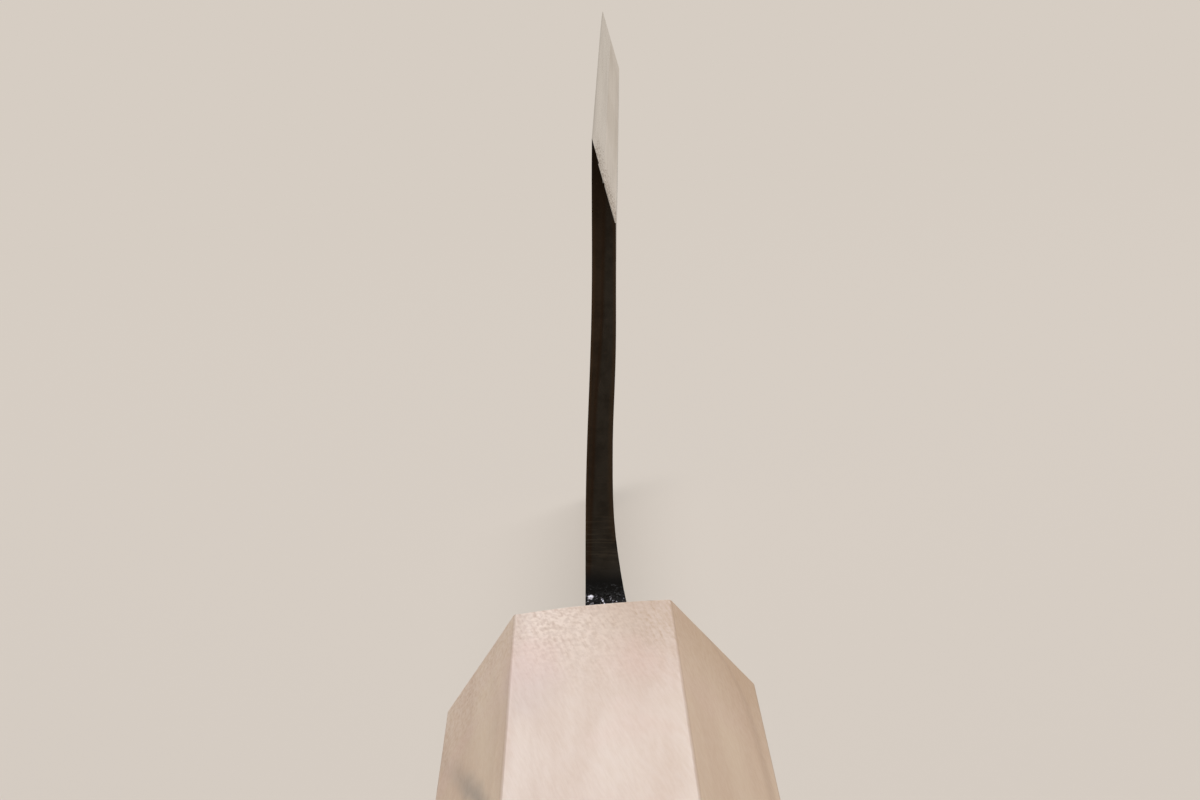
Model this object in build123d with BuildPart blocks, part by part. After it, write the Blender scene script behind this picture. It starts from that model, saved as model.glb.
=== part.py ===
from build123d import *

import os
from math import asin, degrees

# A single-bevel nakiri: a laminated vegetable knife with an octagonal wooden handle.
# It is drawn in its own axes, in millimetres: X from the flat side of the blade to its bevelled
# side, Y from the handle to the tip, Z from the spine to the cutting edge. The flat side lies at
# X = 0, the heel at Y = 0 and the spine at Z = 0. At the end the knife is stood on its back.

# Blade plate, as drawn from the side
blade_length = 165.0
blade_height = 50.0
blade_thickness = 1.63
edge_flat_length = 108.0
edge_rise = 1.3
front_lean = 3.0
spine_corner_radius = 14.0

# The one bevel, measured from the cutting edge down to its upper line
bevel_width = 5.7

# Hard steel layer on the flat side: thick along the edge, thin from there to the spine
steel_thickness = 0.82
steel_thin_thickness = 0.42
steel_full_width = 11.0
steel_thinning_width = 9.0
steel_setback = 1.0

# Neck between the heel and the handle, and the swell that blends it into the plate
neck_height = 16.0
neck_thickness = 3.7
neck_straight_length = 5.5
choil_radius = 9.5
swell_centre_back = 12.0
swell_radius = 33.2
swell_run = 16.2

# Hidden tang
shoulder_gap = 3.0
tang_root_height = 10.8
tang_length = 88.0
tang_end_height = 6.0
tang_end_thickness = 2.0

# Slot in the handle and the resin that sets the tang in it
slot_clearance = 0.35
slot_end_gap = 3.0
resin_recess = 0.8

# Octagonal handle
handle_length = 125.0
handle_front_width = 20.0
handle_front_height = 24.0
handle_butt_width = 21.0
handle_butt_height = 25.8
facet_leg_across = 4.92
facet_leg_up = 6.02
spine_recess = 3.1
long_edge_radius = 0.3
front_edge_chamfer = 0.25
butt_edge_chamfer = 0.9

# How the handle sits on the tang, in degrees: turned about its length, and swung to the side
handle_roll = 6.25
handle_yaw = 0.77

# How far a cutting shape runs past what it cuts
overrun = 1.0

# Places that follow from the sizes
handle_front_y = -(choil_radius + neck_straight_length)
shoulder_y = handle_front_y + shoulder_gap
handle_axis_z = handle_front_height / 2 - spine_recess
tang_middle_x = neck_thickness / 2
tang_end_y = handle_front_y - tang_length
handle_front = Plane(
    origin=(tang_middle_x, handle_front_y, handle_axis_z), x_dir=(1, 0, 0), z_dir=(0, -1, 0)
).rotated((0, -handle_roll, handle_yaw), Extrinsic.XYZ)
handle_side = Plane(handle_front.origin, x_dir=handle_front.z_dir, z_dir=-handle_front.x_dir)
handle_top = Plane(handle_front.origin, x_dir=handle_front.z_dir, z_dir=handle_front.y_dir)


def across_tang(y):
    """The plane across the tang at a given Y, with its middle on the tang and its normal backwards."""
    return Plane(origin=(tang_middle_x, y, handle_axis_z), x_dir=(1, 0, 0), z_dir=(0, -1, 0))


# Forged blank: plate, neck and tang in one piece, before it is told apart into iron and steel
with BuildPart() as blank:
    blank_top = blade_height + overrun
    lean_per_height = front_lean / blade_height
    with BuildSketch(Plane.YZ) as side_outline:
        with BuildLine():
            Polyline(
                (0, neck_height + choil_radius),
                (0, blank_top),
                (blade_length + lean_per_height * overrun, blank_top),
                (blade_length - front_lean, 0),
                (shoulder_y, 0),
                (shoulder_y, neck_height),
                (-choil_radius, neck_height),
            )
            RadiusArc((-choil_radius, neck_height), (0, neck_height + choil_radius), -choil_radius)
        make_face()
        spine_corner = side_outline.vertices().group_by(Axis.Y)[0].sort_by(Axis.X)[-1]
        fillet(spine_corner, spine_corner_radius)
    extrude(amount=neck_thickness)

    # Thin the bevelled side to the plate, round a swell that is centred on the neck
    swell_low = swell_radius - swell_run
    thinning_reach = blade_length + blade_height + swell_radius
    with BuildSketch(Plane.XZ.offset(swell_centre_back)) as thinning:
        with BuildLine():
            TangentArc(
                (blade_thickness, swell_radius), (neck_thickness, swell_low), tangent=(0, -1)
            )
            Polyline(
                (neck_thickness, swell_low),
                (neck_thickness + overrun, swell_low),
                (neck_thickness + overrun, thinning_reach),
                (blade_thickness, thinning_reach),
                (blade_thickness, swell_radius),
            )
        make_face()
    revolve(axis=Axis((0, -swell_centre_back, 0), (1, 0, 0)), mode=Mode.SUBTRACT)

    # Grind the bevel along the edge, which is straight from the heel and then curves up a little
    belly_length = blade_length - edge_flat_length
    belly_radius = (belly_length**2 + edge_rise**2) / (2 * edge_rise)
    belly_angle = degrees(asin((belly_length + overrun) / belly_radius))
    grind_reach = edge_rise + 2 * overrun
    grind_left = -grind_reach * blade_thickness / bevel_width
    grind_right = blade_thickness + overrun
    with BuildLine(Plane.YZ) as edge_line:
        straight_edge = Line((-overrun, blade_height), (edge_flat_length, blade_height))
        JernArc(straight_edge @ 1, straight_edge % 1, belly_radius, -belly_angle)
    with BuildSketch(Plane.XZ.offset(overrun)) as grind:
        with BuildLine():
            Polyline(
                (grind_left, blade_height + grind_reach),
                (grind_right, blade_height - bevel_width * grind_right / blade_thickness),
                (grind_right, blade_height + grind_reach),
                close=True,
            )
        make_face()
    sweep(path=edge_line.line, mode=Mode.SUBTRACT)

    # Draw out the tang from the shoulders of the neck
    with BuildSketch(across_tang(shoulder_y)) as tang_root:
        Rectangle(neck_thickness, tang_root_height)
    with BuildSketch(across_tang(tang_end_y)) as tang_end:
        Rectangle(tang_end_thickness, tang_end_height)
    loft(ruled=True)

# Space that the hard steel takes up, bounded by the forge-welded line
with BuildPart() as steel_zone:
    thinning_top = blade_height - steel_full_width
    thinning_low = thinning_top - steel_thinning_width
    with BuildSketch(Plane.XZ.offset(steel_setback)) as steel_section:
        with BuildLine():
            Spline(
                (steel_thin_thickness, thinning_low),
                (steel_thickness, thinning_top),
                tangents=((0, 1), (0, 1)),
            )
            Polyline(
                (steel_thickness, thinning_top),
                (steel_thickness, blade_height + overrun),
                (-overrun, blade_height + overrun),
                (-overrun, -overrun),
                (steel_thin_thickness, -overrun),
                (steel_thin_thickness, thinning_low),
            )
        make_face()
    extrude(amount=-(steel_setback + blade_length + overrun))

# Hard steel layer, which carries the cutting edge
with BuildPart() as blade_steel:
    add(blank.part)
    add(steel_zone.part, mode=Mode.INTERSECT)

# Soft iron body with the neck and the tang
with BuildPart() as blade_iron:
    add(blank.part)
    add(steel_zone.part, mode=Mode.SUBTRACT)

# Slot for the tang, wider than it all round and a little deeper
with BuildPart() as slot:
    tang_height_fall = (tang_root_height - tang_end_height) / (tang_length + shoulder_gap)
    tang_thickness_fall = (neck_thickness - tang_end_thickness) / (tang_length + shoulder_gap)
    slot_front_y = handle_front_y + overrun
    slot_end_y = tang_end_y - slot_end_gap
    with BuildSketch(across_tang(slot_front_y)) as slot_mouth:
        run = shoulder_y - slot_front_y
        Rectangle(
            neck_thickness - tang_thickness_fall * run + 2 * slot_clearance,
            tang_root_height - tang_height_fall * run + 2 * slot_clearance,
        )
    with BuildSketch(across_tang(slot_end_y)) as slot_end:
        Rectangle(
            tang_end_thickness - tang_thickness_fall * slot_end_gap + 2 * slot_clearance,
            tang_end_height - tang_height_fall * slot_end_gap + 2 * slot_clearance,
        )
    loft(ruled=True)


# One-piece wooden handle: a bar tapered both ways, with its four corners planed off to an octagon
with BuildPart() as handle:
    with BuildSketch(handle_side) as side_view:
        Polygon(
            (0, -handle_front_height / 2),
            (handle_length, -handle_butt_height / 2),
            (handle_length, handle_butt_height / 2),
            (0, handle_front_height / 2),
            align=None,
        )
    extrude(amount=handle_butt_width, both=True)
    with BuildSketch(handle_top) as top_view:
        Polygon(
            (0, -handle_front_width / 2),
            (handle_length, -handle_butt_width / 2),
            (handle_length, handle_butt_width / 2),
            (0, handle_front_width / 2),
            align=None,
        )
    extrude(amount=handle_butt_height, both=True, mode=Mode.INTERSECT)
    for side in (0, -1):
        facet = handle.faces().sort_by(Axis.Z)[side]
        corners = facet.edges().filter_by(lambda edge: edge.length > handle_length / 2)
        chamfer(corners, facet_leg_across, facet_leg_up, reference=facet)
    chamfer(handle.faces().sort_by(Axis.Y)[-1].edges(), front_edge_chamfer)
    chamfer(handle.faces().sort_by(Axis.Y)[0].edges(), butt_edge_chamfer)
    fillet(handle.edges().filter_by(lambda edge: edge.length > handle_length / 2), long_edge_radius)
    add(slot.part, mode=Mode.SUBTRACT)

# Resin between the tang and the slot, a little below the handle's front face
with BuildPart() as tang_resin:
    add(slot.part)
    split(bisect_by=handle_front.offset(resin_recess), keep=Keep.TOP)
    add(blank.part, mode=Mode.SUBTRACT)

# Stand the knife on its back: on the front of the handle's back facet and on the spine's front end
back_facet_half = handle_front_width / 2 - facet_leg_across
rest_left = handle_front.from_local_coords(Vector(-back_facet_half, -handle_front_height / 2, 0))
rest_right = handle_front.from_local_coords(Vector(back_facet_half, -handle_front_height / 2, 0))
spine_front = blade_iron.vertices().group_by(Axis.Z)[0].group_by(Axis.Y)[-1]
rest_tip = Vector(*spine_front.sort_by(Axis.X)[-1])
table_up = (rest_right - rest_left).cross(rest_tip - rest_left).normalized()
table_right = Vector(0, 1, 0).cross(table_up).normalized()
table = Plane(origin=rest_left, x_dir=table_right, z_dir=table_up)

knife_pieces = (blade_iron, blade_steel, handle, tang_resin)
for piece in knife_pieces:
    piece.part.move(table.location.inverse())

# The origin lies under the middle of the standing knife
knife_box = Compound([piece.part for piece in knife_pieces]).bounding_box()
to_origin = Location((-knife_box.center().X, -knife_box.center().Y, -knife_box.min.Z))
for piece in knife_pieces:
    piece.part.move(to_origin)

os.makedirs("parts", exist_ok=True)

blade_iron.part.label = "blade_iron"
export_step(blade_iron.part, "parts/blade_iron.step")

blade_steel.part.label = "blade_steel"
export_step(blade_steel.part, "parts/blade_steel.step")

handle.part.label = "handle"
export_step(handle.part, "parts/handle.step")

tang_resin.part.label = "tang_resin"
export_step(tang_resin.part, "parts/tang_resin.step")
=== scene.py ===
from math import atan2, cos, degrees, pi, radians, sqrt

import bmesh
import bpy
from mathutils import Matrix, Vector, noise


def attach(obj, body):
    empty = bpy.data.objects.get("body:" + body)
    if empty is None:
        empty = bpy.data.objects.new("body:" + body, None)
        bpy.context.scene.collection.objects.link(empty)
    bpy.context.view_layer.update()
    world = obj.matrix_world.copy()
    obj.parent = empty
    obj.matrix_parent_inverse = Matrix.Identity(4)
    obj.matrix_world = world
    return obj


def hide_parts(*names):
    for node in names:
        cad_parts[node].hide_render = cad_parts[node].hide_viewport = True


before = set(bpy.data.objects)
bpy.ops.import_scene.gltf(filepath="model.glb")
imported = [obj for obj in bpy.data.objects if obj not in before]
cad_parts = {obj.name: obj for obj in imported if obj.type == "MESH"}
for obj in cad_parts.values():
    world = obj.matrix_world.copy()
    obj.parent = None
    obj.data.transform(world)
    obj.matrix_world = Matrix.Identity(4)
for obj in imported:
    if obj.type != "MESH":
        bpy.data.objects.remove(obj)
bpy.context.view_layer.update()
mm = 0.001


# SOFT-IRON BODY OF THE BLADE
# The body is forged from soft iron in one piece with the neck and the tang, and ground to a satin
# finish. The smith's black scale is left on the heel, the spine, the neck and the tang.

# The knife stands on its back: where the spine's heel end lies, and how the blade is turned there
spine_heel = Vector((-3.884, -12.874, 3.065)) * mm
blade_lean = radians(6.236)
nose_down = radians(1.111)
knife_turn = Matrix.Rotation(-nose_down, 4, "X") @ Matrix.Rotation(blade_lean, 4, "Y")
knife_place = Matrix.Translation(spine_heel) @ knife_turn

# The plate, and the swell that thickens it towards the neck
plate_thickness = 1.63 * mm
neck_thickness = 3.7 * mm
neck_back = -14 * mm
swell_centre = Vector((0, -12, 0)) * mm
swell_radius = 33.2 * mm
swell_run = 16.2 * mm
swell_rise = neck_thickness - plate_thickness
swell_hollow = (swell_run**2 + swell_rise**2) / (2 * swell_rise)

# Up to the first of these across, a place lies on the flat left side, and past the second on the
# right side
flat_side_reach = 0.05 * mm
right_side_start = 1.2 * mm

# The ground bevel and the cutting edge, which is straight and then curves up to the front
blade_height = 50 * mm
bevel_width = 5.7 * mm
bevel_slope = plate_thickness / bevel_width
bevel_slack = 0.1 * mm
plane_slack = 0.03 * mm
edge_flat_length = 108 * mm
belly_end = 164 * mm
belly_radius = 1250 * mm

# Traces of the hand: a wave in the hammered plate, and a swell on its right by the heel
bow_height, bow_crest, bow_length = 0.085 * mm, 38.5 * mm, 24.5 * mm
heel_swell = 0.1 * mm

# How far edges are eased, the least side that can take it, and the rim that turns brown
easing = 0.06 * mm
shortest_side = 0.08 * mm
rim_width = 0.1 * mm

# The steel layer ends just in front of this, and behind it the iron has a left side of its own
steel_back = -1.2 * mm


def merged_copy(node, own_place):
    """The plain part as a clean shape in axes of its own: X across, Y to the tip, Z to the edge."""
    shape = bmesh.new()
    shape.from_mesh(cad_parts[node].data)
    bmesh.ops.remove_doubles(shape, verts=shape.verts, dist=0.002 * mm)
    bmesh.ops.dissolve_limit(shape, angle_limit=radians(0.2), verts=shape.verts, edges=shape.edges)
    bmesh.ops.transform(shape, matrix=own_place.inverted(), verts=shape.verts)
    return shape


def cut_across(shape, axis, start, stop, step):
    """Even cuts through a shape, square to its X, Y or Z axis, so that it can be bent."""
    normal = Vector([float(letter == axis) for letter in "XYZ"])
    place = start
    while place < stop:
        everything = shape.verts[:] + shape.edges[:] + shape.faces[:]
        bmesh.ops.bisect_plane(
            shape, geom=everything, plane_co=normal * place, plane_no=normal, dist=0.001 * mm
        )
        place += step


def smoothly(value, low, high):
    """0 below low, 1 above high, and a soft step between them."""
    share = min(max((value - low) / (high - low), 0), 1)
    return share * share * (3 - 2 * share)


def below_edge(place):
    """How far a place on the blade lies below the cutting edge."""
    past_flat = max(place.y - edge_flat_length, 0)
    return blade_height - past_flat**2 / (2 * belly_radius) - place.z


def bow(place):
    """How far the hammered plate swings to the side: a shallow wave over its height."""
    bow_start, bow_full = 9 * mm, 20 * mm
    wave = bow_height * cos(2 * pi * (place.z - bow_crest) / bow_length)
    return wave * smoothly(place.z, bow_start, bow_full)


def proud_heel(place):
    """How far the right side stands proud by the heel, where the plate starts to thicken."""
    foot, shoulder, brow, top = 23 * mm, 29 * mm, 34 * mm, 41 * mm
    fade_from, fade_to = 2 * mm, 19 * mm
    rise = smoothly(place.z, foot, shoulder) - smoothly(place.z, brow, top)
    return heel_swell * rise * (1 - smoothly(place.y, fade_from, fade_to))


def on_bevel(place):
    """True for a place on the bevel's own plane."""
    off_plane = abs(place.x - bevel_slope * below_edge(place))
    return below_edge(place) < bevel_width + bevel_slack and off_plane < plane_slack


def is_bevel(face):
    """True for the bevel's own faces."""
    return face.normal.x > 0.5 and all(on_bevel(corner.co) for corner in face.verts)


def leans_as_bevel(face):
    """True for a face that is tilted as the bevel is, wherever it lies."""
    return 0.9 < face.normal.x < 0.98


def at_heel_line(middle):
    """True for the edge that ends the bevel at the heel."""
    return on_bevel(middle) and middle.y < 0.01 * mm


def eases_heel_line(face):
    """True for the narrow faces that ease the bevel's end at the heel."""
    middle = face.calc_center_median()
    by_heel = abs(middle.y) < 0.1 * mm and below_edge(middle) < bevel_width
    return by_heel and face.normal.x > 0.3 and face.normal.y < -0.2


def cut_blade(shape):
    """Cuts a blade layer finely enough for its swell, its belly and its bow."""
    cut_across(shape, "Z", start=2 * mm, stop=49.5 * mm, step=1.25 * mm)
    cut_across(shape, "Y", start=neck_back, stop=20 * mm, step=1.7 * mm)
    cut_across(shape, "Y", start=edge_flat_length, stop=belly_end, step=6 * mm)

    # The bevel's corners are laid exactly on its ground face
    shape.normal_update()
    for corner in shape.verts:
        meets_bevel = any(leans_as_bevel(face) for face in corner.link_faces)
        if meets_bevel and on_bevel(corner.co):
            corner.co.x = bevel_slope * max(below_edge(corner.co), 0)

    # Corners on the two sides that lie too near each other for the easing become one
    outer = [
        corner for corner in shape.verts
        if not flat_side_reach < corner.co.x < right_side_start
        and below_edge(corner.co) > bevel_width + 2 * bevel_slack
    ]
    bmesh.ops.remove_doubles(shape, verts=outer, dist=shortest_side)


def square_edges(shape, inside):
    """The right-angled edges whose middle passes the test."""
    found = []
    for edge in shape.edges:
        if len(edge.link_faces) == 2 and radians(50) < edge.calc_face_angle() < radians(120):
            if inside((edge.verts[0].co + edge.verts[1].co) / 2):
                found.append(edge)
    return found


def ease_edges(shape, chosen):
    """Rounds the chosen edges a little, as a file and a stone leave them."""
    bmesh.ops.bevel(
        shape, geom=chosen, offset=easing, offset_type="OFFSET", segments=2, profile=0.5,
        affect="EDGES", clamp_overlap=False, material=-1,
    )


def piece_from(shape, own_place, name):
    """Puts a finished shape back in its place as an object, with its crisp edges kept crisp."""
    bmesh.ops.transform(shape, matrix=own_place, verts=shape.verts)
    mesh = bpy.data.meshes.new(name)
    shape.to_mesh(mesh)
    shape.free()
    piece = bpy.data.objects.new(name, mesh)
    bpy.context.scene.collection.objects.link(piece)
    even = piece.modifiers.new("even shading", "WEIGHTED_NORMAL")
    even.keep_sharp = True
    return piece


def finish_blade(shape, name, node):
    """Bends a blade layer, marks it for its finish and turns it into a piece."""
    bevelled = shape.faces.layers.float.new("bevelled")
    scaled = shape.faces.layers.float.new("scaled")
    rim = shape.verts.layers.float.new("rim")
    to_edge = shape.verts.layers.float.new("below_edge")
    for face in shape.faces:
        ground = abs(face.normal.x) > 0.95 or eases_heel_line(face)
        face.smooth = True
        face[bevelled] = 1.0 if is_bevel(face) else 0.0
        face[scaled] = 0.0 if ground else 1.0
    for edge in shape.edges:
        if len(edge.link_faces) == 2:
            ends_bevel = is_bevel(edge.link_faces[0]) != is_bevel(edge.link_faces[1])
            edge.smooth = edge.calc_face_angle() < radians(40) and not ends_bevel
    for corner in shape.verts:
        corner[to_edge] = below_edge(corner.co) / mm
        on_right = corner.co.x > right_side_start
        before_neck = corner.co.y > -0.5 * mm
        corner[rim] = 1.0 if before_neck and (on_right or corner.co.x < rim_width) else 0.0
        corner.co.x += bow(corner.co) + (proud_heel(corner.co) if on_right else 0)
    piece = piece_from(shape, knife_place, name)
    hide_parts(node)
    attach(piece, "root")
    return piece


iron_shape = merged_copy("blade_iron", knife_place)
cut_blade(iron_shape)

# The swell follows its arc at each corner, round the middle of the neck
for corner in iron_shape.verts:
    to_neck = (Vector((0, corner.co.y, corner.co.z)) - swell_centre).length
    on_side = corner.co.x > right_side_start and corner.co.y > neck_back
    if on_side and swell_radius - swell_run < to_neck < swell_radius:
        sag = swell_hollow - sqrt(swell_hollow**2 - (swell_radius - to_neck) ** 2)
        corner.co.x = plate_thickness + sag

# The outer edges are eased and so is the bevel's end at the heel, but not the welded face's edges
outer_edges = square_edges(
    iron_shape,
    lambda middle: (
        middle.x > right_side_start and below_edge(middle) > bevel_width - bevel_slack
        or middle.x < flat_side_reach and middle.y < steel_back
    ),
)
ease_edges(iron_shape, outer_edges + square_edges(iron_shape, at_heel_line))
iron = finish_blade(iron_shape, "soft_iron_body", "blade_iron")


def node_with(tree, kind, **values):
    """A shader node with its settings and unlinked inputs filled in."""
    node = tree.nodes.new(kind)
    for key, value in values.items():
        if key.replace("_", " ") in node.inputs:
            node.inputs[key.replace("_", " ")].default_value = value
        else:
            setattr(node, key, value)
    return node


def feed(tree, socket, value):
    """Gives an input a number, a colour or another node's output."""
    if isinstance(value, (int, float)):
        socket.default_value = value
    elif isinstance(value, tuple):
        socket.default_value = (*value, 1)
    else:
        tree.links.new(value, socket)


def own_axes(tree, origin, turn):
    """Places on a piece in millimetres, along axes of its own."""
    coordinates = node_with(tree, "ShaderNodeTexCoord")
    mapping = node_with(tree, "ShaderNodeMapping", vector_type="TEXTURE")
    mapping.inputs["Location"].default_value = origin
    mapping.inputs["Rotation"].default_value = turn
    mapping.inputs["Scale"].default_value = (mm, mm, mm)
    tree.links.new(coordinates.outputs["Object"], mapping.inputs["Vector"])
    return mapping.outputs["Vector"]


def axes_of(tree, place):
    """The three parts of a place: across, along and up."""
    apart = node_with(tree, "ShaderNodeSeparateXYZ")
    tree.links.new(place, apart.inputs["Vector"])
    return apart.outputs


def stretched(tree, place, stretch, turn=(0, 0, 0)):
    """The same places, drawn out along an axis for grain and scratches."""
    mapping = node_with(tree, "ShaderNodeMapping", vector_type="POINT")
    mapping.inputs["Rotation"].default_value = turn
    mapping.inputs["Scale"].default_value = stretch
    tree.links.new(place, mapping.inputs["Vector"])
    return mapping.outputs["Vector"]


def clouds(tree, place, scale, detail=3.0, roughness=0.5):
    """Grey noise over places in millimetres."""
    texture = node_with(tree, "ShaderNodeTexNoise", Scale=scale, Detail=detail, Roughness=roughness)
    tree.links.new(place, texture.inputs["Vector"])
    return texture.outputs["Fac"]


def distance_from(tree, place, spot):
    """How far a place lies from one spot."""
    node = node_with(tree, "ShaderNodeVectorMath", operation="DISTANCE")
    tree.links.new(place, node.inputs[0])
    node.inputs[1].default_value = spot
    return node.outputs["Value"]


def between(tree, value, low, high, to_low=0.0, to_high=1.0):
    """Maps a stretch of values softly onto another, and holds it at its ends."""
    remap = node_with(tree, "ShaderNodeMapRange", interpolation_type="SMOOTHSTEP")
    for socket, number in zip(list(remap.inputs)[1:5], (low, high, to_low, to_high)):
        socket.default_value = number
    tree.links.new(value, remap.inputs["Value"])
    return remap.outputs["Result"]


def joined(tree, operation, *values):
    """One sum on a few values, each a number or another node's output."""
    node = node_with(tree, "ShaderNodeMath", operation=operation)
    for socket, value in zip(node.inputs, values):
        feed(tree, socket, value)
    return node.outputs["Value"]


def product(tree, first, *others):
    """All the values multiplied, each a number or another node's output."""
    result = first
    for value in others:
        result = joined(tree, "MULTIPLY", result, value)
    return result


def mixed(tree, share, first, second):
    """Mixes two colours or two numbers, each written out or another node's output."""
    plain = isinstance(first, (int, float)) or getattr(first, "type", "") == "VALUE"
    mix = node_with(tree, "ShaderNodeMix", data_type="FLOAT" if plain else "RGBA")
    sockets = (mix.inputs[0], mix.inputs[2 if plain else 6], mix.inputs[3 if plain else 7])
    for socket, value in zip(sockets, (share, first, second)):
        feed(tree, socket, value)
    return mix.outputs[0 if plain else 2]


def colour(red, green, blue):
    """A colour as a screen shows it, from 0 to 255, as the shader wants it."""
    shares = [channel / 255 for channel in (red, green, blue)]
    return tuple(s / 12.92 if s <= 0.04045 else ((s + 0.055) / 1.055) ** 2.4 for s in shares)


def mark(tree, name):
    """A mark that the piece itself carries."""
    return node_with(tree, "ShaderNodeAttribute", attribute_name=name).outputs["Fac"]


def new_material(name):
    """An empty material with one main shader."""
    material = bpy.data.materials.new(name)
    material.use_nodes = True
    return material, material.node_tree, material.node_tree.nodes["Principled BSDF"]


def add_relief(tree, shader, height, strength, depth):
    """Gives a material its fine relief."""
    bump = node_with(tree, "ShaderNodeBump", Distance=depth)
    feed(tree, bump.inputs["Strength"], strength)
    tree.links.new(height, bump.inputs["Height"])
    tree.links.new(bump.outputs["Normal"], shader.inputs["Normal"])


def ground_metal(tree, place, bright, hazy, roughness):
    """Colour, roughness and relief of the ground metal on the sides and the bevel."""
    along = axes_of(tree, place)[1]
    bevelled, to_edge = mark(tree, "bevelled"), mark(tree, "below_edge")

    # Long stone marks over a soft haze, which thickens towards the tip
    marks = clouds(tree, stretched(tree, place, (1, 0.014, 1)), 1.1, 8, 0.75)
    haze = clouds(tree, stretched(tree, place, (1, 0.2, 1)), 0.11, 3, 0.5)
    metal = mixed(tree, between(tree, haze, 0.4, 0.65, 0.0, 0.4), bright, hazy)
    metal = mixed(tree, between(tree, along, 30.0, 110.0, 0.0, 0.35), metal, hazy)
    side = mixed(tree, between(tree, haze, 0.3, 0.7), colour(212, 211, 208), colour(200, 198, 194))
    metal = mixed(tree, bevelled, side, metal)
    marked = product(tree, between(tree, marks, 0.4, 0.66), mixed(tree, bevelled, 0.5, 0.3))
    metal = mixed(tree, marked, metal, colour(172, 166, 158))

    # The honed line at the very edge, and rust specks where the bevel meets the heel
    honed = product(tree, between(tree, to_edge, 0.32, 0.22), bevelled, 0.45)
    metal = mixed(tree, honed, metal, colour(150, 143, 134))
    specks = clouds(tree, stretched(tree, place, (1, 0.09, 1)), 9.0, 3, 0.7)
    near_heel = product(
        tree, between(tree, along, 34.0, 0.0), between(tree, to_edge, 0.2, 1.2)
    )
    specks = joined(tree, "MULTIPLY_ADD", near_heel, 0.21, specks)
    speck = product(tree, bevelled, 0.85, between(tree, specks, 0.67, 0.8))
    metal = mixed(tree, speck, metal, colour(120, 103, 87))

    satin = between(tree, marks, 0.25, 0.75, roughness - 0.05, roughness + 0.08)
    return metal, mixed(tree, speck, satin, 0.7), product(tree, marks, 0.35)


def forge_scale(tree, place, scaled):
    """Colour, roughness and relief of the smith's black scale, its burnt part and its flecks."""
    across, along, up = axes_of(tree, place)
    to_edge, rim = mark(tree, "below_edge"), mark(tree, "rim")

    # The heel shows where the steel ends: this far across at its foot, in its middle and at its top
    foot_across, middle_across, top_across = 0.27, 0.45, 0.84
    weld = joined(
        tree, "ADD",
        between(tree, up, 30.0, 39.0, middle_across, top_across),
        between(tree, up, 20.0, 32.0, foot_across - middle_across, 0.0),
    )
    past_weld = joined(tree, "SUBTRACT", across, weld)
    black = mixed(
        tree, between(tree, past_weld, -0.06, 0.08), colour(64, 52, 41), colour(64, 59, 52)
    )
    brown_line = between(tree, joined(tree, "ABSOLUTE", past_weld), 0.22, 0.0)

    # Blotches, a brown line at the weld, brown outer margins, and darker towards the cutting edge
    mottle = clouds(tree, place, 0.7, 4, 0.6)
    crust = mixed(tree, between(tree, mottle, 0.4, 0.7, 0.0, 0.5), black, colour(37, 32, 25))
    crust = mixed(tree, product(tree, brown_line, 0.6), crust, colour(55, 39, 25))
    crust = mixed(tree, between(tree, rim, 0.68, 0.97, 0.0, 0.5), crust, colour(84, 65, 45))
    crust = mixed(tree, between(tree, to_edge, 10.0, 0.5), crust, colour(33, 23, 12))

    # File marks run across the upper end of the round choil
    file_marks = clouds(
        tree, stretched(tree, place, (0.25, 0.25, 4.0), (0, 0.05, 0)), 1.5, 3, 0.6
    )
    filed = product(
        tree,
        between(tree, up, 25.2, 23.6),
        between(tree, up, 20.6, 21.6),
        between(tree, file_marks, 0.48, 0.6, 0.0, 0.4),
    )
    crust = mixed(tree, filed, crust, colour(88, 79, 68))

    # Round the neck the scale is burnt black and glassy, up to a soft border on the choil
    by_neck = mixed(
        tree, scaled, between(tree, along, 5.0, -9.0), between(tree, along, 1.0, 0.0)
    )
    burnt = product(tree, between(tree, up, 21.4, 20.0), by_neck)
    crust = mixed(tree, scaled, colour(27, 26, 25), crust)
    crust = mixed(tree, burnt, crust, colour(9, 8, 8))

    # There it is chipped off in bright flecks, and in one larger chip on the left
    flecks = product(
        tree,
        between(tree, clouds(tree, place, 6.0, 2, 0.6), 0.6, 0.67),
        between(tree, up, 19.5, 18.8),
        between(tree, across, 4.0, 1.0, 0.2, 1.0),
        mixed(tree, scaled, 0.12, 1.0),
    )
    chip = (0.35, -2.4, 19.2)
    chip_edge = clouds(tree, place, 7.0, 2, 0.5)
    to_chip = joined(tree, "MULTIPLY_ADD", chip_edge, 0.55, distance_from(tree, place, chip))
    flecks = joined(tree, "MAXIMUM", flecks, between(tree, to_chip, 0.45, 0.39))
    flecks = product(tree, flecks, burnt)
    crust = mixed(tree, flecks, crust, colour(208, 208, 220))

    dull = mixed(tree, burnt, between(tree, mottle, 0.3, 0.7, 0.42, 0.62), 0.3)
    grit = product(
        tree,
        between(tree, clouds(tree, place, 5.0, 2, 0.6), 0.45, 0.75),
        between(tree, up, 20.3, 19.2),
        2.0,
    )
    relief = mixed(tree, burnt, mixed(tree, 0.35, file_marks, mottle), grit)
    return crust, dull, relief, burnt, flecks


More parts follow.
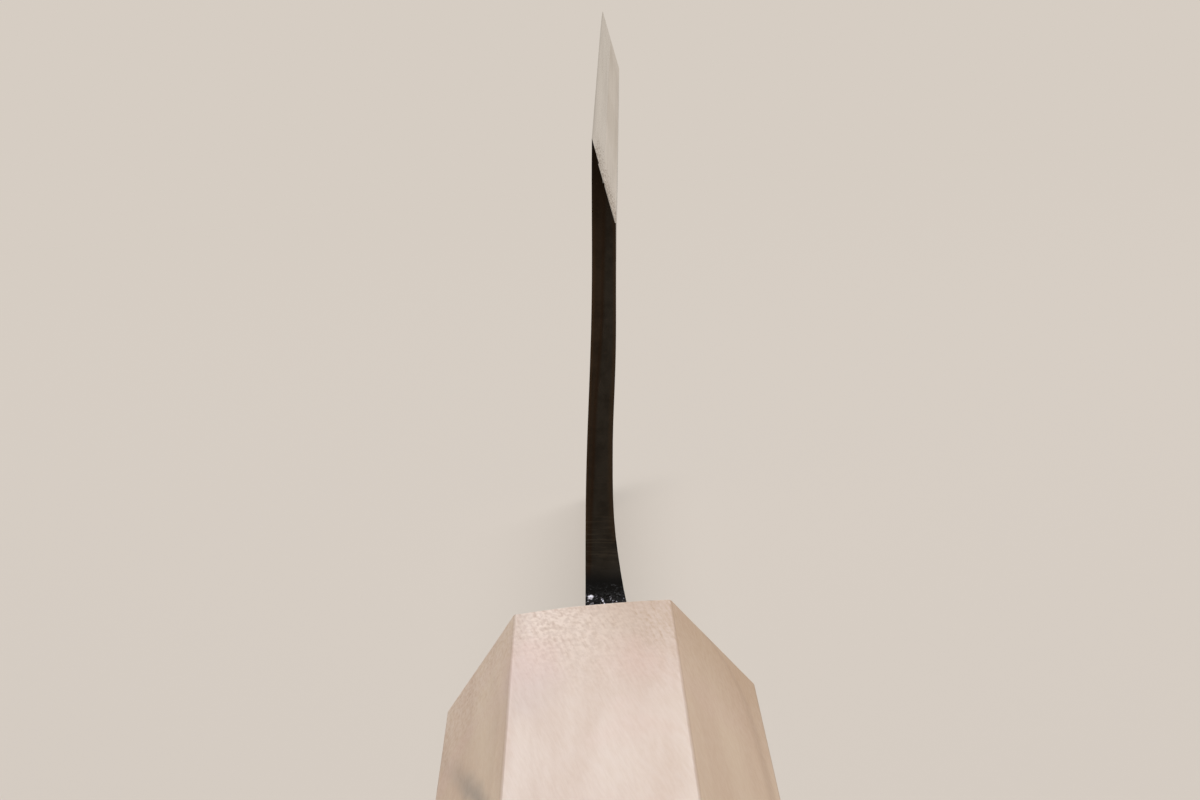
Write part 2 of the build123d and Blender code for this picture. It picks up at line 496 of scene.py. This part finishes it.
def blade_finish(name, bright, hazy, roughness):
    """Satin-ground metal on the sides and the bevel, and the smith's black scale elsewhere."""
    material, tree, shader = new_material(name)
    link = tree.links.new
    place = own_axes(tree, spine_heel, (-nose_down, blade_lean, 0))
    scaled = mark(tree, "scaled")
    metal, satin, metal_relief = ground_metal(tree, place, bright, hazy, roughness)
    crust, dull, crust_relief, burnt, flecks = forge_scale(tree, place, scaled)

    # The scale reaches from the neck to where the grinding of the sides stops, with a ragged end
    to_neck = distance_from(tree, stretched(tree, place, (0, 1, 1)), swell_centre / mm)
    ragged = clouds(tree, stretched(tree, place, (1, 0.8, 1.2)), 0.3, 6, 0.6)
    reach = joined(tree, "MULTIPLY_ADD", ragged, 7.0, to_neck)
    covered = joined(tree, "MAXIMUM", scaled, between(tree, reach, 26.0, 23.5))
    bare = joined(tree, "MAXIMUM", flecks, joined(tree, "SUBTRACT", 1.0, covered))

    link(mixed(tree, covered, metal, crust), shader.inputs["Base Color"])
    link(bare, shader.inputs["Metallic"])
    link(mixed(tree, covered, satin, dull), shader.inputs["Roughness"])
    link(mixed(tree, burnt, 0.05, 0.1), shader.inputs["Specular IOR Level"])
    relief = mixed(tree, covered, metal_relief, crust_relief)
    add_relief(tree, shader, relief, mixed(tree, burnt, 0.5, 1.0), 0.03 * mm)
    return material


iron.data.materials.append(blade_finish(
    "soft iron, satin and scale", bright=colour(224, 218, 210), hazy=colour(186, 174, 157),
    roughness=0.33,
))


# HARD STEEL LAYER
# A layer of hard steel is forge-welded to the flat side of the iron and carries the cutting edge.
# It is thick along the edge and thins towards the spine, and its scale is browner than the iron's.

# The cutting edge stays keen: nothing is eased nearer to it than this
keen_side, keen_bevel = 3 * mm, 1 * mm

steel_shape = merged_copy("blade_steel", knife_place)
cut_blade(steel_shape)
side_edges = square_edges(
    steel_shape,
    lambda middle: (
        middle.x < flat_side_reach and below_edge(middle) > keen_side
        or at_heel_line(middle) and below_edge(middle) > keen_bevel
    ),
)
ease_edges(steel_shape, side_edges)
steel = finish_blade(steel_shape, "hard_steel_layer", "blade_steel")
steel.data.materials.append(blade_finish(
    "hard steel, satin and scale", bright=colour(214, 209, 201), hazy=colour(206, 200, 190),
    roughness=0.27,
))


# RESIN ROUND THE TANG
# The tang is burnt into its slot and set in dark resin, which was poured in and lies a little
# behind the front of the handle. It keeps the plain solid's shape.
resin_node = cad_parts["tang_resin"]
resin_finish, tree, shader = new_material("dark resin")
place = own_axes(tree, spine_heel, (-nose_down, 0, 0))
lumps = clouds(tree, place, 0.9, 3, 0.55)
resin_colour = mixed(tree, between(tree, lumps, 0.3, 0.7), colour(46, 36, 28), colour(64, 50, 38))
tree.links.new(resin_colour, shader.inputs["Base Color"])
tree.links.new(between(tree, lumps, 0.3, 0.7, 0.35, 0.6), shader.inputs["Roughness"])
add_relief(tree, shader, lumps, 0.4, 0.1 * mm)
resin_node.data.materials.clear()
resin_node.data.materials.append(resin_finish)


# OCTAGONAL WOODEN HANDLE
# One piece of pale close-grained wood, planed to eight facets that widen a little to the butt.
# The facets are worked by hand, so they are never quite flat, and the wood has no varnish.

# Where the middle of its front lies, and how it is turned there
handle_front = Vector((-1.078, -27.703, 12.001)) * mm
handle_swing = radians(0.77)
handle_turn = (-nose_down, 0, handle_swing)
handle_place = (
    Matrix.Translation(handle_front)
    @ Matrix.Rotation(handle_swing, 4, "Z")
    @ Matrix.Rotation(-nose_down, 4, "X")
)

# The octagon: half its height in front and how that grows, half its top facet, and its slants
front_half_height, half_height_gain = 12 * mm, 0.0072
top_facet_half = 5.08 * mm
facet_slants = (0, 39.3, 90)

# Traces of the plane: a crown on the top facet, a little off its middle, and uneven facets.
# The slot and the underside, on which the handle stands, are left as they are.
crown, crown_shift, crown_depth = 0.17 * mm, 0.6 * mm, 0.3 * mm
unevenness, unevenness_size = 0.05 * mm, 6 * mm
slot_reach = 7.2 * mm
underside_height = 1 * mm

handle_shape = merged_copy("handle", handle_place)
cut_across(handle_shape, "Y", start=-121 * mm, stop=-1 * mm, step=5 * mm)
cut_across(handle_shape, "X", start=-8 * mm, stop=8.1 * mm, step=1.6 * mm)
cut_across(handle_shape, "Z", start=-9 * mm, stop=9.1 * mm, step=1.8 * mm)
end_grain = handle_shape.faces.layers.float.new("end_grain")
flat_grain_and_painted_light = handle_shape.faces.layers.float.new("flat_grain_and_painted_light")
ridge = handle_shape.faces.layers.float.new("ridge")
for face in handle_shape.faces:
    at_end = abs(face.normal.y) > 0.5
    slant = degrees(atan2(abs(face.normal.z), abs(face.normal.x)))
    off_facets = min(abs(slant - facet_slant) for facet_slant in facet_slants)
    face.smooth = True
    face[end_grain] = 1.0 if at_end else 0.0
    face[flat_grain_and_painted_light] = smoothly(abs(face.normal.z), 0.7, 0.97)
    face[ridge] = 1.0 if off_facets > 4 and not at_end else 0.0
for edge in handle_shape.edges:
    if len(edge.link_faces) == 2:
        edge.smooth = edge.calc_face_angle() < radians(30)
for corner in handle_shape.verts:
    half_height = front_half_height - half_height_gain * corner.co.y
    if corner.co.z > half_height - crown_depth:
        off_middle = (corner.co.x - crown_shift) / top_facet_half
        corner.co.z += crown * max(1 - off_middle**2, 0)
    outside = max(abs(corner.co.x), abs(corner.co.z)) > slot_reach
    if outside and corner.co.z > underside_height - half_height:
        spot = Vector((corner.co.x, corner.co.y * 0.4, corner.co.z)) / unevenness_size
        corner.co.z += unevenness * noise.noise(spot)
handle = piece_from(handle_shape, handle_place, "octagonal_handle")
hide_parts("handle")
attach(handle, "root")

wood, tree, shader = new_material("pale close-grained wood")
place = own_axes(tree, handle_front, handle_turn)
across, along, up = axes_of(tree, place)
at_end, flat_grain_and_light = mark(tree, "end_grain"), mark(tree, "flat_grain_and_painted_light")

# Year rings round a heart outside the handle, with broad soft streaks and fine fibres along it
heart = (-26, 0, -60)
rings_per_mm, ring_wander = 0.36, 8.0
wander = clouds(tree, stretched(tree, place, (0.06, 0.014, 0.06)), 1.0, 3, 0.5)
from_heart = distance_from(tree, stretched(tree, place, (1, 0.05, 1)), heart)
ring_place = joined(tree, "MULTIPLY_ADD", wander, ring_wander, from_heart)
ring_share = joined(tree, "FRACT", product(tree, ring_place, rings_per_mm))
late_wood = product(
    tree, between(tree, ring_share, 0.35, 0.9), between(tree, ring_share, 1.0, 0.9)
)
streaks = clouds(tree, stretched(tree, place, (0.5, 0.025, 0.5), (0, 0, 0.05)), 1.0, 3, 0.5)
streaky = between(tree, streaks, 0.32, 0.68)
slanted = stretched(tree, place, (1, 1, 1), (0, 0, -0.09))
fibres = clouds(tree, stretched(tree, slanted, (4.0, 0.2, 4.0)), 1.5, 3, 0.6)
flakes = clouds(tree, stretched(tree, slanted, (1.0, 0.25, 1.0)), 3.8, 2, 0.5)
blush = clouds(tree, stretched(tree, place, (1.0, 0.35, 1.0)), 0.22, 2, 0.4)
waver = clouds(tree, stretched(tree, place, (1.0, 0.2, 1.0)), 0.5, 2, 0.5)

# Where a facet lies flat to the year rings the wood is paler and pinker than where it cuts them;
# this is partly painted light and shade, so that the top reads lighter than the slanted sides
tan = mixed(tree, streaky, colour(224, 201, 176), colour(213, 186, 162))
pale_pink = mixed(tree, streaky, colour(219, 200, 187), colour(209, 186, 171))
wood_colour = mixed(tree, flat_grain_and_light, tan, pale_pink)
ring_shade = product(tree, late_wood, mixed(tree, at_end, 0.16, 0.55))
wood_colour = mixed(tree, ring_shade, wood_colour, colour(184, 150, 124))
blushing = between(tree, blush, 0.5, 0.7, 0, 0.2)
wood_colour = mixed(tree, blushing, wood_colour, colour(222, 188, 178))

# Dark fibres and pale flakes stand out most at the front, and the end grain is darker
rough_front = between(tree, along, -34.0, -3.0)
fibre_most = mixed(tree, rough_front, 0.05, mixed(tree, flat_grain_and_light, 0.35, 0.6))
fibre_share = product(tree, between(tree, fibres, 0.46, 0.78), fibre_most)
wood_colour = mixed(tree, fibre_share, wood_colour, colour(176, 142, 118))
flake_most = mixed(tree, rough_front, 0.05, mixed(tree, flat_grain_and_light, 0.5, 0.85))
flake_share = product(tree, between(tree, flakes, 0.34, 0.68), flake_most)
wood_colour = mixed(tree, flake_share, wood_colour, colour(232, 214, 201))
wood_colour = mixed(tree, product(tree, at_end, 0.35), wood_colour, colour(186, 154, 126))

# The right is tanner, most at the front, and the ridges and the top facet's margins are darker
to_front = between(tree, along, -34.0, 0.0)
# Partly the wood's tone, partly painted shade against the lamp's stronger light on the right
tanner_and_right_shade = product(tree, mixed(tree, to_front, 0.33, 0.85), between(tree, across, -6, 9))
wood_colour = mixed(tree, tanner_and_right_shade, wood_colour, colour(186, 155, 124))
margins = joined(
    tree, "MAXIMUM", between(tree, across, 0.8, 3.5), between(tree, across, -3.6, -5.0)
)
darker_margins_and_ridge_shade = product(tree, margins, between(tree, along, -42.0, -6.0, 0.0, 0.3), flat_grain_and_light)
# On the ridges the darkening is partly painted shade, which damps the bright line along them
darker_margins_and_ridge_shade = joined(tree, "MAXIMUM", darker_margins_and_ridge_shade, product(tree, mark(tree, "ridge"), 0.32))
wood_colour = mixed(tree, darker_margins_and_ridge_shade, wood_colour, colour(150, 115, 85))

# Two pink flushes and a lilac one lie behind the front on the top, drawn out along the grain
flush_squeeze = 0.22
for spot_across, spot_along, tint in (
    (2.6, -21.0, colour(212, 174, 160)),
    (-3.9, -17.5, colour(214, 176, 169)),
    (-4.1, -27.0, colour(203, 183, 178)),
):
    squeezed = stretched(tree, place, (1, flush_squeeze, 0))
    to_spot = distance_from(tree, squeezed, (spot_across, flush_squeeze * spot_along, 0))
    ragged_reach = joined(tree, "MULTIPLY_ADD", waver, 2.5, to_spot)
    wood_colour = mixed(tree, between(tree, ragged_reach, 4.2, 1.4, 0, 0.36), wood_colour, tint)

# A dark mineral streak slants over the left shoulder facet
streak_front, streak_slope = 4.1, -0.133
streak_height = joined(tree, "MULTIPLY_ADD", along, streak_slope, streak_front)
off_streak = joined(tree, "ABSOLUTE", joined(tree, "SUBTRACT", up, streak_height))
off_streak = joined(tree, "MULTIPLY_ADD", waver, 0.8, off_streak)
mineral = product(
    tree,
    between(tree, off_streak, 1.2, 0.3),
    between(tree, across, -5.5, -6.5),
    between(tree, along, -18, -46, 0.08, 0.6),
    between(tree, along, -66, -54),
)
wood_colour = mixed(tree, mineral, wood_colour, colour(122, 116, 112))

# A brown grain line runs along the right shoulder facet and curves up at the front
line_level, line_climb, climb_base, climb_rate = 6.9, 2.6, 2.718, 0.18
climb_share = joined(tree, "POWER", climb_base, product(tree, along, climb_rate))
line_height = joined(tree, "MULTIPLY_ADD", climb_share, line_climb, line_level)
off_line = joined(tree, "ABSOLUTE", joined(tree, "SUBTRACT", up, line_height))
off_line = joined(tree, "MULTIPLY_ADD", waver, 0.5, off_line)
grain_line = product(
    tree,
    between(tree, off_line, 0.75, 0.2),
    between(tree, across, 5.2, 6.0),
    mixed(tree, at_end, 0.34, 0.0),
)
wood_colour = mixed(tree, grain_line, wood_colour, colour(164, 132, 106))
tree.links.new(wood_colour, shader.inputs["Base Color"])
tree.links.new(between(tree, fibres, 0.3, 0.7, 0.46, 0.58), shader.inputs["Roughness"])
add_relief(tree, shader, fibres, 0.2, 0.04 * mm)
handle.data.materials.append(wood)


# TABLE
# A plain pale table that the knife stands on. The camera sees it half lit and half as an even pale
# tone, so that shadows on it stay faint, and away from the knife it fades into the backdrop.
pale = colour(214, 205, 195)
table_half_width = 6.0
fade_start, fade_end = 130, 420


def looked_at(tree):
    """1 where the camera or a reflection sees a surface, and 0 where light falls on it."""
    light_path = node_with(tree, "ShaderNodeLightPath")
    seen, reflected = light_path.outputs["Is Camera Ray"], light_path.outputs["Is Glossy Ray"]
    return joined(tree, "MAXIMUM", seen, reflected)


bed = bmesh.new()
bmesh.ops.create_grid(bed, x_segments=1, y_segments=1, size=table_half_width)
table_mesh = bpy.data.meshes.new("table")
bed.to_mesh(table_mesh)
bed.free()
table = bpy.data.objects.new("table", table_mesh)
bpy.context.scene.collection.objects.link(table)
table_finish, tree, shader = new_material("pale table")
shader.inputs["Base Color"].default_value = (*pale, 1)
shader.inputs["Roughness"].default_value = 0.85
shader.inputs["Specular IOR Level"].default_value = 0.2
from_knife = distance_from(tree, own_axes(tree, (0, 0, 0), (0, 0, 0)), (0, 0, 0))
even_share = product(
    tree, between(tree, from_knife, fade_start, fade_end, 0.5, 1.0), looked_at(tree)
)
even_pale = node_with(tree, "ShaderNodeEmission", Color=(*pale, 1), Strength=1.0)
fade = node_with(tree, "ShaderNodeMixShader")
tree.links.new(even_share, fade.inputs["Fac"])
tree.links.new(shader.outputs["BSDF"], fade.inputs[1])
tree.links.new(even_pale.outputs["Emission"], fade.inputs[2])
tree.links.new(fade.outputs["Shader"], tree.nodes["Material Output"].inputs["Surface"])
table_mesh.materials.append(table_finish)


# LIGHT AND CAMERA
# A soft lamp hangs over the knife, a weak one stands low behind it, and soft light comes from all
# round. The camera stands behind the butt and looks along the knife.
world = bpy.data.worlds.new("soft studio")
bpy.context.scene.world = world
world.use_nodes = True
tree = world.node_tree
tree.nodes.clear()
fill = node_with(tree, "ShaderNodeBackground", Color=(1.0, 0.94, 0.86, 1), Strength=0.24)
backdrop = node_with(tree, "ShaderNodeBackground", Color=(*pale, 1), Strength=1.0)
choose = node_with(tree, "ShaderNodeMixShader")
world_out = node_with(tree, "ShaderNodeOutputWorld")
tree.links.new(looked_at(tree), choose.inputs["Fac"])
tree.links.new(fill.outputs["Background"], choose.inputs[1])
tree.links.new(backdrop.outputs["Background"], choose.inputs[2])
tree.links.new(choose.outputs["Shader"], world_out.inputs["Surface"])

for name, place, width, length, power in (
    ("overhead strip", Vector((0.22, 0.45, 2.0)), 0.35, 1.4, 31.0),
    ("low back light", Vector((0.11, 2.3, 1.0)), 0.5, 1.0, 7.0),
):
    lamp_data = bpy.data.lights.new(name, "AREA")
    lamp_data.shape = "RECTANGLE"
    lamp_data.size, lamp_data.size_y = width, length
    lamp_data.energy = power
    lamp_data.color = (0.985, 1.0, 1.035)
    lamp = bpy.data.objects.new(name, lamp_data)
    bpy.context.scene.collection.objects.link(lamp)
    lamp.location = place
    lamp.rotation_euler = (-place).to_track_quat("-Z", "Y").to_euler()

camera_place = Vector((6.223, -339.182, 86.745)) * mm
camera_right = Vector((0.995778, 0.003284, -0.091733))
camera_ahead = Vector((-0.01764, 0.987578, -0.156137))
camera_up = camera_right.cross(camera_ahead)
camera_axes = Matrix((camera_right, camera_up, -camera_ahead)).transposed()
camera_data = bpy.data.cameras.new("camera")
camera_data.lens = 147.06
camera_data.sensor_width = 36
camera_data.clip_start, camera_data.clip_end = 0.01, 50
camera = bpy.data.objects.new("camera", camera_data)
bpy.context.scene.collection.objects.link(camera)
camera.matrix_world = Matrix.Translation(camera_place) @ camera_axes.to_4x4()
bpy.context.scene.camera = camera
bpy.context.scene.view_settings.view_transform = "Standard"
